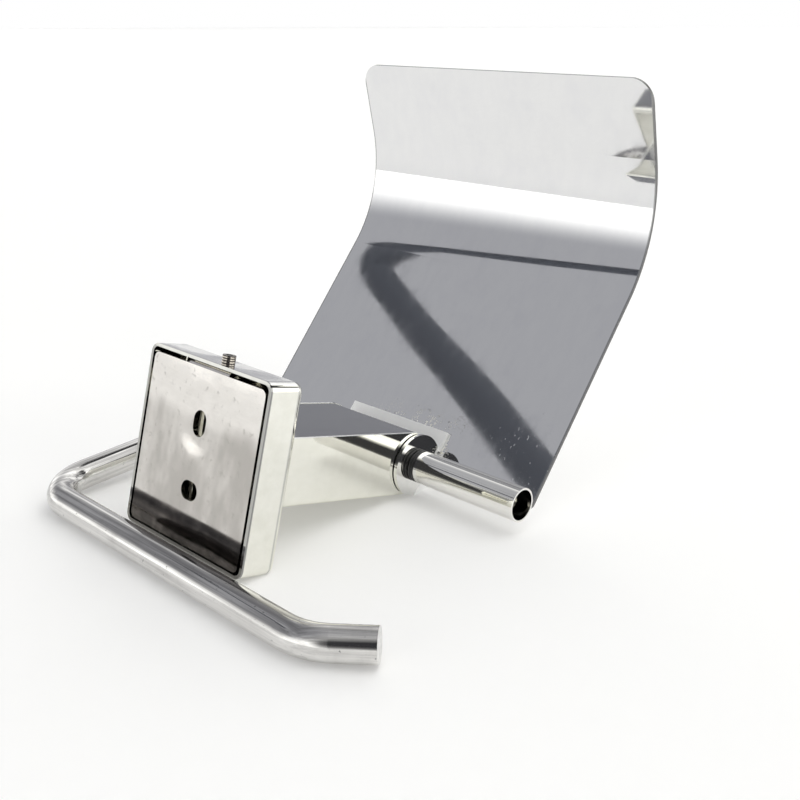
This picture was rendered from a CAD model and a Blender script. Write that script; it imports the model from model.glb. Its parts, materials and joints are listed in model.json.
import json
import math
import bpy
from mathutils import Matrix, Vector


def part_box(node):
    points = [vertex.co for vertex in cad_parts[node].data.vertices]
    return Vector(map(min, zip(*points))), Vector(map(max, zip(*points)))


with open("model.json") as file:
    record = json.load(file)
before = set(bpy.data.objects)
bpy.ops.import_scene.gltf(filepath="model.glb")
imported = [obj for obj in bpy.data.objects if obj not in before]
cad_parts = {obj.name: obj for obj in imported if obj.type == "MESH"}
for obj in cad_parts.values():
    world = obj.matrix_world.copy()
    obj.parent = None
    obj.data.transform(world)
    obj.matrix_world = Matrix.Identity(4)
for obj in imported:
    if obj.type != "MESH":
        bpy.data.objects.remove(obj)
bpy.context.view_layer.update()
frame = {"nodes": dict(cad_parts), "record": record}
scene = bpy.context.scene
scene.view_settings.view_transform = "Standard"
scene.view_settings.look = "None"
scene.view_settings.exposure = 0.0

# ------------------------------------------------------------------ camera
RIGHT = Vector((0.71678, 0.67536, 0.17352)).normalized()
FORWARD = Vector((-0.66825, 0.73639, -0.10572)).normalized()
UP = (-FORWARD).cross(RIGHT).normalized()
PLACE = Vector((0.24017, -0.19351, 0.07842))
camera_data = bpy.data.cameras.new("camera")
camera_data.sensor_width = 36.0
camera_data.lens = 48.485
camera_data.shift_x = 0.0191
camera_data.shift_y = -0.0874
camera_data.clip_start = 0.01
camera_data.clip_end = 50.0
camera = bpy.data.objects.new("camera", camera_data)
scene.collection.objects.link(camera)
turn = Matrix((RIGHT, UP, -FORWARD)).transposed().to_4x4()
camera.matrix_world = Matrix.Translation(PLACE) @ turn
scene.camera = camera

# ------------------------------------------------------------------ directions and places, in metres
# X runs along the hinge axis, Y out from the wall, Z along the wall.
AXIS_X = Vector((1.0, 0.0, 0.0))
AXIS_Y = Vector((0.0, 1.0, 0.0))
AXIS_Z = Vector((0.0, 0.0, 1.0))

# The object lies on a table that is tilted in its own frame.
TILT = math.radians(14.48)
TABLE = Vector((0.0, 0.0, -0.0297))
TABLE_UP = Vector((0.0, -math.sin(TILT), math.cos(TILT)))

COVER_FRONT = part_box("wall_cover")[1][1]
SHEET_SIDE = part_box("cover_sheet")[1][0]
HINGE = (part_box("pivot_sleeve")[0][1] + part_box("pivot_sleeve")[1][1]) / 2

# The lower part of the cover sheet leans back, and the sheet curves forward above it.
LEAN = math.radians(25.9)
CURVE = math.radians(53.13)
HINGE_TO_SHEET = 0.0074
SHEET_UP = Vector((0.0, math.sin(LEAN), math.cos(LEAN)))
SHEET_OUT = Vector((0.0, math.cos(LEAN), -math.sin(LEAN)))
SHEET_FOOT = AXIS_Y * HINGE + SHEET_OUT * HINGE_TO_SHEET
UPPER_FACE = SHEET_UP * math.sin(CURVE) + SHEET_OUT * math.cos(CURVE)

# The bar lies folded back: LEG and TIP run along its ends, ACROSS is square to its plane.
FOLD = math.radians(18.0)
LEG = Vector((0.0, -math.cos(FOLD), -math.sin(FOLD)))
ACROSS = Vector((0.0, math.sin(FOLD), -math.cos(FOLD)))
TIP = (AXIS_X * 0.8 - LEG * 0.6).normalized()
LEG_BEND = (-0.046, -0.054)
TIP_BEND = (0.062, 0.068)

UPPER_SLOT = AXIS_Z * 0.010
THREAD_PITCH = 0.0007


# ------------------------------------------------------------------ node helpers
class Graph:
    """Small helper round one node tree."""

    def __init__(self, tree):
        self.tree = tree

    def node(self, kind, **values):
        n = self.tree.nodes.new(kind)
        for key, value in values.items():
            setattr(n, key, value)
        return n

    def link(self, a, b):
        self.tree.links.new(a, b)

    def put(self, value, socket):
        if isinstance(value, bpy.types.NodeSocket):
            self.link(value, socket)
        else:
            socket.default_value = value

    def math(self, operation, a, b=0.0, clamp=False):
        n = self.node("ShaderNodeMath", operation=operation, use_clamp=clamp)
        self.put(a, n.inputs[0])
        self.put(b, n.inputs[1])
        return n.outputs[0]

    def plus(self, a, b):
        return self.math("ADD", a, b)

    def minus(self, a, b):
        return self.math("SUBTRACT", a, b)

    def times(self, a, b):
        return self.math("MULTIPLY", a, b)

    def size(self, a):
        return self.math("ABSOLUTE", a)

    def ramp(self, value, low, high, out_low=0.0, out_high=1.0):
        """Smooth climb from out_low to out_high while value goes from low to high."""
        n = self.node("ShaderNodeMapRange", interpolation_type="SMOOTHSTEP", clamp=True)
        self.put(value, n.inputs["Value"])
        n.inputs["From Min"].default_value = low
        n.inputs["From Max"].default_value = high
        n.inputs["To Min"].default_value = out_low
        n.inputs["To Max"].default_value = out_high
        return n.outputs["Result"]

    def dot(self, vector, axis):
        n = self.node("ShaderNodeVectorMath", operation="DOT_PRODUCT")
        self.put(vector, n.inputs[0])
        n.inputs[1].default_value = tuple(axis)
        return n.outputs["Value"]

    def facing(self, axis):
        """1 where the surface faces along axis, 0 square to it and -1 away from it."""
        return self.dot(self.node("ShaderNodeTexCoord").outputs["Normal"], axis)

    def distance(self, vector, point):
        n = self.node("ShaderNodeVectorMath", operation="DISTANCE")
        self.put(vector, n.inputs[0])
        n.inputs[1].default_value = tuple(point)
        return n.outputs["Value"]

    def scaled(self, vector, scale, turn=(0, 0, 0)):
        n = self.node("ShaderNodeMapping")
        self.put(vector, n.inputs["Vector"])
        n.inputs["Scale"].default_value = scale
        n.inputs["Rotation"].default_value = turn
        return n.outputs["Vector"]

    def axes(self, vector, first, second, third):
        n = self.node("ShaderNodeCombineXYZ")
        for socket, axis in zip(n.inputs, (first, second, third)):
            self.link(self.dot(vector, axis), socket)
        return n.outputs[0]

    def noise(self, vector, scale, detail, rough):
        n = self.node("ShaderNodeTexNoise")
        self.put(vector, n.inputs["Vector"])
        n.inputs["Scale"].default_value = scale
        n.inputs["Detail"].default_value = detail
        n.inputs["Roughness"].default_value = rough
        return n.outputs["Fac"]

    def mix(self, fac, a, b):
        n = self.node("ShaderNodeMix", data_type="RGBA")
        self.put(fac, n.inputs[0])
        self.put(a, n.inputs[6])
        self.put(b, n.inputs[7])
        return n.outputs[2]

    def blend(self, fac, a, b):
        n = self.node("ShaderNodeMix", data_type="FLOAT")
        self.put(fac, n.inputs[0])
        self.put(a, n.inputs[2])
        self.put(b, n.inputs[3])
        return n.outputs[0]

    def bump(self, height, strength, depth, normal=None):
        n = self.node("ShaderNodeBump")
        n.inputs["Strength"].default_value = strength
        n.inputs["Distance"].default_value = depth
        self.put(height, n.inputs["Height"])
        if normal is not None:
            self.link(normal, n.inputs["Normal"])
        return n.outputs["Normal"]


def rgb(r, g, b):
    return (r, g, b, 1.0)


def new_material(name, metal=1.0):
    material = bpy.data.materials.new(name)
    material.use_nodes = True
    graph = Graph(material.node_tree)
    graph.tree.nodes.clear()
    out = graph.node("ShaderNodeOutputMaterial")
    shader = graph.node("ShaderNodeBsdfPrincipled")
    shader.inputs["Metallic"].default_value = metal
    graph.link(shader.outputs[0], out.inputs["Surface"])
    where = graph.node("ShaderNodeTexCoord").outputs["Object"]
    return material, graph, shader, where


# ------------------------------------------------------------------ steel
# How far a smudge pulls the colour to the dark one, and the roughness to the dull one.
SMUDGE = 0.35


def steel(name, light, dark, rough, streak=None, lines_of=None, depth=0.55, fine=0.00001,
          wave=0.0, wave_scale=28.0, dish=None, marks=None):
    """Steel with fine streaks, smudges and slow waves in its surface.

    streak is the scale of the streaks along X, Y and Z, or lines_of draws them.
    depth is how far they pull the colour from light to dark, fine is their height and wave that of the waves.
    dish is one shallow hollow: centre, inner and outer radius, and depth in waves.
    marks changes colour and roughness last.
    """
    material, g, shader, where = new_material(name)
    lines = lines_of(g, where) if lines_of else g.noise(g.scaled(where, streak), 1.0, 4.0, 0.6)
    smudge = g.ramp(g.noise(where, 55.0, 5.0, 0.62), 0.45, 0.72)
    tone = g.times(g.ramp(lines, 0.3, 0.7), depth)
    tone = g.math("ADD", tone, g.times(smudge, SMUDGE), clamp=True)
    colour = g.mix(tone, rgb(*light), rgb(*dark))
    shiny, dull = rough
    roughness = g.plus(g.ramp(lines, 0.3, 0.75, shiny, dull), g.times(smudge, SMUDGE * (dull - shiny) + 0.01))
    if marks:
        colour, roughness = marks(g, where, colour, roughness)
    g.link(colour, shader.inputs["Base Color"])
    g.link(roughness, shader.inputs["Roughness"])
    normal = g.bump(lines, 0.35, fine)
    if wave:
        slow = g.noise(where, wave_scale, 1.0, 0.4)
        if dish:
            centre, inner, outer, sink = dish
            slow = g.plus(slow, g.ramp(g.distance(where, centre), inner, outer, 0.0, sink))
        normal = g.bump(slow, 1.0, wave, normal)
    g.link(normal, shader.inputs["Normal"])
    return material


def tube_lines(g, where):
    """Fine streaks along the tube: along X, along the leg, and along the turned-up tip."""
    slow, fast = 16.0, 700.0
    runs = [(AXIS_X, LEG), (LEG, AXIS_X), (TIP, TIP.cross(ACROSS).normalized())]
    long_part, leg, tip = [g.noise(g.axes(where, along * slow, beside * fast, ACROSS * fast), 1.0, 4.0, 0.62)
                           for along, beside in runs]
    along_x = g.dot(where, AXIS_X)
    lines = g.blend(g.ramp(along_x, *LEG_BEND), long_part, leg)
    return g.blend(g.ramp(along_x, *TIP_BEND), lines, tip)


def thread_lines(g, where):
    """Rings of the thread round the set screw."""
    turn = g.math("SINE", g.times(g.dot(where, AXIS_Z), 2.0 * math.pi / THREAD_PITCH))
    return g.plus(g.times(turn, 0.3), 0.5)


def bar_marks(g, where, colour, roughness):
    """The side of the bar away from the table is dulled, in streaks, and the bar has dark specks."""
    upper_side = g.ramp(g.facing(TABLE_UP), 0.15, 0.75)
    streaks = g.ramp(tube_lines(g, where), 0.35, 0.62, 0.35, 0.8)
    colour = g.mix(g.times(upper_side, streaks), colour, rgb(0.22, 0.215, 0.215))
    specks = g.ramp(g.noise(where, 900.0, 2.0, 0.5), 0.70, 0.74)
    return g.mix(g.times(specks, 0.7), colour, rgb(0.10, 0.10, 0.10)), roughness


def ground_edge(g, where, colour, roughness):
    """The edges of the arm's side walls that face along Z are ground and satin."""
    top = g.ramp(g.facing(AXIS_Z), 0.7, 0.9)
    grit = g.noise(where, 1200.0, 3.0, 0.6)
    roughness = g.plus(roughness, g.times(top, g.ramp(grit, 0.3, 0.7, 0.35, 0.5)))
    return g.mix(top, colour, rgb(0.97, 0.97, 0.95)), roughness


def lid_marks(g, where, colour, roughness):
    """Heat stains where the arm is welded to the wall cover."""
    weld_ends, weld_full = COVER_FRONT + 0.013, COVER_FRONT + 0.001
    near = g.ramp(g.dot(where, AXIS_Y), weld_ends, weld_full)
    stain = g.times(near, g.ramp(g.noise(where, 700.0, 3.0, 0.6), 0.45, 0.6))
    colour = g.mix(g.times(stain, 0.6), colour, rgb(0.16, 0.16, 0.18))
    return colour, g.plus(roughness, g.times(stain, 0.25))


def satin(g, where, colour, roughness):
    """The flat web and its bends are satin; the ears on either side are polished."""
    bends_start, bends_full = 0.0046, 0.0054
    from_hinge = g.minus(g.dot(where, SHEET_OUT), SHEET_OUT.y * HINGE)
    web = g.ramp(from_hinge, bends_start, bends_full)
    grit = g.noise(where, 2600.0, 3.0, 0.6)
    roughness = g.plus(roughness, g.times(web, g.ramp(grit, 0.3, 0.7, 0.55, 0.72)))
    shader = next(n for n in g.tree.nodes if n.type == "BSDF_PRINCIPLED")
    g.link(g.ramp(web, 0.0, 1.0, 1.0, 0.35), shader.inputs["Metallic"])
    return g.mix(web, colour, rgb(0.97, 0.97, 0.96)), roughness


def plate_marks(g, where, colour, roughness):
    """Rolled sheet: brighter at the top, dull spots, and a dark film along the bottom."""
    bright_top = (0.020, 0.014)
    film_edge = (-0.0164, -0.0173)
    rise = g.dot(where, AXIS_Z)
    drift = g.times(g.noise(where, 60.0, 2.0, 0.5), 0.012)
    middle = g.ramp(g.plus(rise, drift), *bright_top)
    cloud = g.ramp(g.noise(g.scaled(where, (70.0, 70.0, 34.0)), 1.0, 3.0, 0.6), 0.36, 0.62, 0.45, 0.95)
    colour = g.mix(g.times(middle, cloud), colour, rgb(0.44, 0.42, 0.395))
    spots = g.ramp(g.noise(where, 420.0, 3.0, 0.6), 0.58, 0.70)
    colour = g.mix(g.times(spots, 0.4), colour, rgb(0.36, 0.34, 0.31))
    bottom = g.ramp(rise, *film_edge)
    film = g.ramp(g.noise(where, 150.0, 4.0, 0.6), 0.4, 0.65)
    film = g.mix(film, rgb(0.075, 0.068, 0.065), rgb(0.17, 0.155, 0.145))
    return g.mix(g.times(bottom, 0.93), colour, film), roughness


def cover_marks(g, where, colour, roughness):
    """The top is a little duller, and a dark line runs round the rim and along the rounded front edges."""
    top = g.ramp(g.facing(AXIS_Z), 0.75, 0.97)
    brushed = g.noise(g.scaled(where, (60.0, 900.0, 60.0)), 1.0, 3.0, 0.6)
    dull = g.times(top, g.ramp(brushed, 0.3, 0.7, 0.70, 0.92))
    colour = g.mix(dull, colour, rgb(0.50, 0.50, 0.52))
    out = g.dot(where, AXIS_Y)
    rim = (0.0003, 0.00028, 0.85)
    front_edge = (COVER_FRONT - 0.0026, 0.00030, 0.40)
    for place, half_width, amount in (rim, front_edge):
        line = g.ramp(g.size(g.minus(out, place)), 2.0 * half_width, 0.5 * half_width)
        colour = g.mix(g.times(line, amount), colour, rgb(0.16, 0.16, 0.17))
    return colour, roughness


def sheet_marks(g, where, colour, roughness):
    """Weld specks above the bracket, fine scratches low on the right, and dark cut edges."""
    left_end, right_end, upper_end = (-0.022, 0.012), (0.029, 0.022), (0.0235, 0.0150)
    side = g.dot(where, AXIS_X)
    up = g.minus(g.dot(where, SHEET_UP), SHEET_UP.dot(SHEET_FOOT))
    near = g.times(g.ramp(side, *left_end), g.ramp(side, *right_end))
    near = g.times(near, g.ramp(up, *upper_end))
    cloud = g.ramp(g.noise(where, 190.0, 3.0, 0.6), 0.34, 0.54)
    specks = g.ramp(g.noise(where, 1300.0, 2.0, 0.5), 0.52, 0.60)
    pale = g.times(g.times(specks, cloud), near)
    colour = g.mix(g.times(pale, 0.9), colour, rgb(1.0, 0.98, 0.88))
    roughness = g.plus(roughness, g.times(pale, 0.5))
    dots = g.times(g.ramp(g.noise(where, 620.0, 1.0, 0.4), 0.71, 0.74), near)
    colour = g.mix(g.times(dots, 0.8), colour, rgb(0.10, 0.09, 0.08))

    worn_centre = AXIS_X * 0.050 + SHEET_FOOT + SHEET_UP * 0.016
    worn_reach, worn_full = 0.026, 0.008
    worn = g.ramp(g.distance(where, worn_centre), worn_reach, worn_full)
    scratches = g.noise(g.scaled(where, (1900.0, 620.0, 620.0), (0.6, 0.3, 0.0)), 1.0, 2.0, 0.5)
    scratches = g.times(g.ramp(scratches, 0.67, 0.72), worn)
    colour = g.mix(g.times(scratches, 0.4), colour, rgb(0.93, 0.93, 0.93))
    roughness = g.plus(roughness, g.times(scratches, 0.22))

    # Both faces of the sheet stay within CURVE of UPPER_FACE, so what turns further away is a cut edge.
    cut = g.ramp(g.size(g.facing(UPPER_FACE)), 0.45, 0.25)
    rim = g.times(g.ramp(g.size(side), SHEET_SIDE - 0.0006, SHEET_SIDE - 0.0002), 0.7)
    edge = g.math("MAXIMUM", cut, rim)
    colour = g.mix(g.times(edge, 0.9), colour, rgb(0.10, 0.10, 0.10))
    return colour, g.plus(roughness, g.times(edge, 0.3))


def rubber(name, light, dark, low, high, scale):
    """Rubber with a fine grain."""
    material, g, shader, where = new_material(name, metal=0.0)
    grain = g.noise(where, scale, 5.0, 0.6)
    g.link(g.mix(g.ramp(grain, 0.3, 0.7), rgb(*light), rgb(*dark)), shader.inputs["Base Color"])
    g.link(g.ramp(grain, 0.3, 0.7, low, high), shader.inputs["Roughness"])
    g.link(g.bump(grain, 0.4, 0.00003), shader.inputs["Normal"])
    return material


STEELS = {
    "polished_steel": dict(light=(0.88, 0.875, 0.81), dark=(0.80, 0.795, 0.72), rough=(0.02, 0.06),
                           streak=(240.0, 240.0, 240.0), wave=0.00020, wave_scale=34.0, marks=cover_marks),
    "sheet_steel": dict(light=(0.79, 0.79, 0.79), dark=(0.73, 0.73, 0.745), rough=(0.025, 0.055),
                        streak=(260.0, 110.0, 110.0), depth=0.25, fine=0.000002,
                        wave=0.00005, wave_scale=14.0, marks=sheet_marks),
    "plate_steel": dict(light=(0.82, 0.795, 0.76), dark=(0.66, 0.635, 0.60), rough=(0.05, 0.14),
                        streak=(160.0, 160.0, 420.0), depth=0.4, wave=0.0011, wave_scale=30.0,
                        dish=(UPPER_SLOT, 0.0025, 0.0125, 0.30), marks=plate_marks),
    "bar_steel": dict(light=(0.84, 0.83, 0.81), dark=(0.40, 0.39, 0.38), rough=(0.06, 0.19),
                      lines_of=tube_lines, depth=0.6, marks=bar_marks),
    "sleeve_steel": dict(light=(0.88, 0.87, 0.84), dark=(0.74, 0.73, 0.70), rough=(0.02, 0.05),
                         streak=(30.0, 500.0, 500.0), depth=0.3, fine=0.000003),
    "arm_top": dict(light=(0.40, 0.40, 0.42), dark=(0.32, 0.32, 0.34), rough=(0.03, 0.09),
                    streak=(200.0, 200.0, 200.0), depth=0.3, fine=0.000004, wave=0.00008, marks=lid_marks),
    "arm_side": dict(light=(0.88, 0.875, 0.80), dark=(0.80, 0.795, 0.71), rough=(0.02, 0.05),
                     streak=(240.0, 240.0, 240.0), depth=0.3, wave=0.00014, wave_scale=30.0,
                     marks=ground_edge),
    "bracket_steel": dict(light=(0.88, 0.88, 0.86), dark=(0.76, 0.76, 0.74), rough=(0.03, 0.08),
                          streak=(300.0, 300.0, 300.0), fine=0.000004, marks=satin),
    "plain_steel": dict(light=(0.60, 0.59, 0.57), dark=(0.42, 0.41, 0.40), rough=(0.20, 0.38),
                        streak=(500.0, 500.0, 500.0)),
    "screw_steel": dict(light=(0.62, 0.57, 0.50), dark=(0.10, 0.09, 0.08), rough=(0.16, 0.34),
                        lines_of=thread_lines, depth=1.0, fine=0.0002),
}
looks = {slot: steel(slot + "_look", **facts) for slot, facts in STEELS.items()}
looks["ring_rubber"] = rubber("ring_rubber_look", light=(0.018, 0.018, 0.019), dark=(0.006, 0.006, 0.006),
                              low=0.28, high=0.5, scale=1500.0)

# Each node has the look of its material slot, but the top and the sides of the arm differ.
look_of = {s["node"]: s["material_slot"] for s in frame["record"]["subparts"]}
look_of["arm_lid"] = "arm_top"
look_of["arm_channel"] = "arm_side"
for node, thing in frame["nodes"].items():
    for place in thing.material_slots:
        place.material = looks[look_of[node]]


# ------------------------------------------------------------------ studio
def stage_object(name, data):
    """A new object in the scene, showing one mesh or curve."""
    thing = bpy.data.objects.new(name, data)
    scene.collection.objects.link(thing)
    return thing


def stage_mesh(name, corners, faces, material):
    mesh = bpy.data.meshes.new(name)
    mesh.from_pydata(corners, [], faces)
    mesh.materials.append(material)
    return mesh


def on_circle(radius, turn):
    return radius * math.cos(turn), radius * math.sin(turn)


def paper_look():
    """White paper with a faint glow, which keeps the shadows on it light."""
    material, g, shader, where = new_material("paper_look", metal=0.0)
    grain = g.ramp(g.noise(where, 260.0, 4.0, 0.6), 0.3, 0.7)
    g.link(g.mix(grain, rgb(0.86, 0.857, 0.85), rgb(0.84, 0.837, 0.83)), shader.inputs["Base Color"])
    shader.inputs["Roughness"].default_value = 0.75
    shader.inputs["Specular IOR Level"].default_value = 0.2
    shader.inputs["Emission Color"].default_value = rgb(1.0, 1.0, 0.99)
    shader.inputs["Emission Strength"].default_value = 0.17
    return material


floor_steps = 64
floor_reach = 9.0
floor_rim = [(*on_circle(floor_reach, 2 * math.pi * i / floor_steps), 0.0) for i in range(floor_steps)]
floor = stage_object("floor", stage_mesh("floor", floor_rim, [tuple(range(floor_steps))], paper_look()))
floor.location = TABLE
floor.rotation_euler = (TILT, 0.0, 0.0)


def ball(radius, rings, spokes):
    """Corners and faces of a closed ball, from the top down."""
    corners = [(0.0, 0.0, radius)]
    for i in range(1, rings):
        down = math.pi * i / rings
        for j in range(spokes):
            x, y = on_circle(radius * math.sin(down), 2 * math.pi * j / spokes)
            corners.append((x, y, radius * math.cos(down)))
    corners.append((0.0, 0.0, -radius))
    faces = [(0, 1 + j, 1 + (j + 1) % spokes) for j in range(spokes)]
    for i in range(rings - 2):
        for j in range(spokes):
            p = 1 + i * spokes + j
            q = 1 + i * spokes + (j + 1) % spokes
            faces.append((p, p + spokes, q + spokes, q))
    last = 1 + (rings - 2) * spokes
    faces += [(last + j, len(corners) - 1, last + (j + 1) % spokes) for j in range(spokes)]
    return corners, faces


# The room's light comes from a dome: white, with a grey side and darker patches that the steel mirrors.
# Each patch has a direction, the angles in degrees where it is full and where it ends, and a colour.
ROOM_WHITE = rgb(1.86, 1.86, 1.83)
GREY_SIDE = ((-0.66, -0.53, 0.53), 28.0, 62.0, rgb(0.44, 0.445, 0.47))
BEHIND_CAMERA = ((0.62, -0.72, 0.30), 18.0, 44.0, rgb(0.05, 0.05, 0.055))
BEYOND_OBJECT = ((-0.67, 0.74, 0.10), 16.0, 40.0, rgb(0.62, 0.62, 0.64))
SMALL_DARK = rgb(0.06, 0.06, 0.065)
OVERHEAD = (((0.24, 0.61, 0.75), 9.0, 16.0, SMALL_DARK), ((0.80, 0.30, 0.52), 8.0, 15.0, SMALL_DARK),
            ((-0.20, 0.10, 0.97), 7.0, 14.0, SMALL_DARK))


def lobe(g, way, axis, inner, outer):
    """1 within inner degrees of axis, 0 beyond outer degrees."""
    limits = [math.cos(math.radians(angle)) for angle in (outer, inner)]
    return g.ramp(g.dot(way, Vector(axis).normalized()), *limits)


def dome_glow():
    glow = bpy.data.materials.new("dome_glow")
    glow.use_nodes = True
    glow.cycles.emission_sampling = "NONE"
    g = Graph(glow.node_tree)
    g.tree.nodes.clear()
    out = g.node("ShaderNodeOutputMaterial")
    emit = g.node("ShaderNodeEmission")
    g.link(emit.outputs[0], out.inputs["Surface"])
    unit = g.node("ShaderNodeVectorMath", operation="NORMALIZE")
    g.link(g.node("ShaderNodeTexCoord").outputs["Object"], unit.inputs[0])
    way = unit.outputs["Vector"]
    axis, inner, outer, colour = GREY_SIDE
    above_table = g.ramp(g.dot(way, TABLE_UP), 0.08, 0.46)
    value = g.mix(g.times(lobe(g, way, axis, inner, outer), above_table), ROOM_WHITE, colour)
    for axis, inner, outer, colour in (BEHIND_CAMERA, BEYOND_OBJECT, *OVERHEAD):
        value = g.mix(lobe(g, way, axis, inner, outer), value, colour)
    g.link(value, emit.inputs["Color"])
    return glow


dome = stage_object("dome", stage_mesh("dome", *ball(radius=10.0, rings=24, spokes=48), dome_glow()))
dome.location = TABLE
dome.visible_camera = False

# A bent dark stand beside the table, which the sheet mirrors: x, y, z and thickness of each point.
STAND_ROUTE = [
    (-0.360, -0.560, 0.455, 2.6), (-0.450, -0.495, 0.484, 2.6), (-0.495, -0.461, 0.498, 2.5),
    (-0.539, -0.429, 0.509, 2.3), (-0.583, -0.398, 0.517, 2.1), (-0.624, -0.364, 0.529, 1.9),
    (-0.655, -0.339, 0.537, 1.9), (-0.668, -0.326, 0.548, 2.1), (-0.649, -0.316, 0.572, 1.9),
    (-0.602, -0.321, 0.602, 0.8), (-0.535, -0.337, 0.630, 0.5), (-0.469, -0.355, 0.653, 0.4),
    (-0.384, -0.370, 0.685, 0.4)]


def stand_curve():
    curve = bpy.data.curves.new("stand", "CURVE")
    curve.dimensions = "3D"
    curve.bevel_depth = 0.01
    curve.bevel_resolution = 4
    curve.resolution_u = 10
    line = curve.splines.new("NURBS")
    line.points.add(len(STAND_ROUTE) - 1)
    for point, (x, y, z, thickness) in zip(line.points, STAND_ROUTE):
        point.co = (x, y, z, 1.0)
        point.radius = thickness
    line.use_endpoint_u = True
    line.order_u = 3
    material, _, shader, _ = new_material("stand_look", metal=0.0)
    shader.inputs["Base Color"].default_value = rgb(0.05, 0.055, 0.07)
    shader.inputs["Roughness"].default_value = 0.8
    curve.materials.append(material)
    return curve


stand_object = stage_object("stand", stand_curve())
stand_object.visible_camera = False
stand_object.visible_diffuse = False
stand_object.visible_shadow = False

world = bpy.data.worlds.new("room")
scene.world = world
world.use_nodes = True
world.node_tree.nodes["Background"].inputs["Color"].default_value = rgb(1.0, 1.0, 1.0)
world.node_tree.nodes["Background"].inputs["Strength"].default_value = 1.0

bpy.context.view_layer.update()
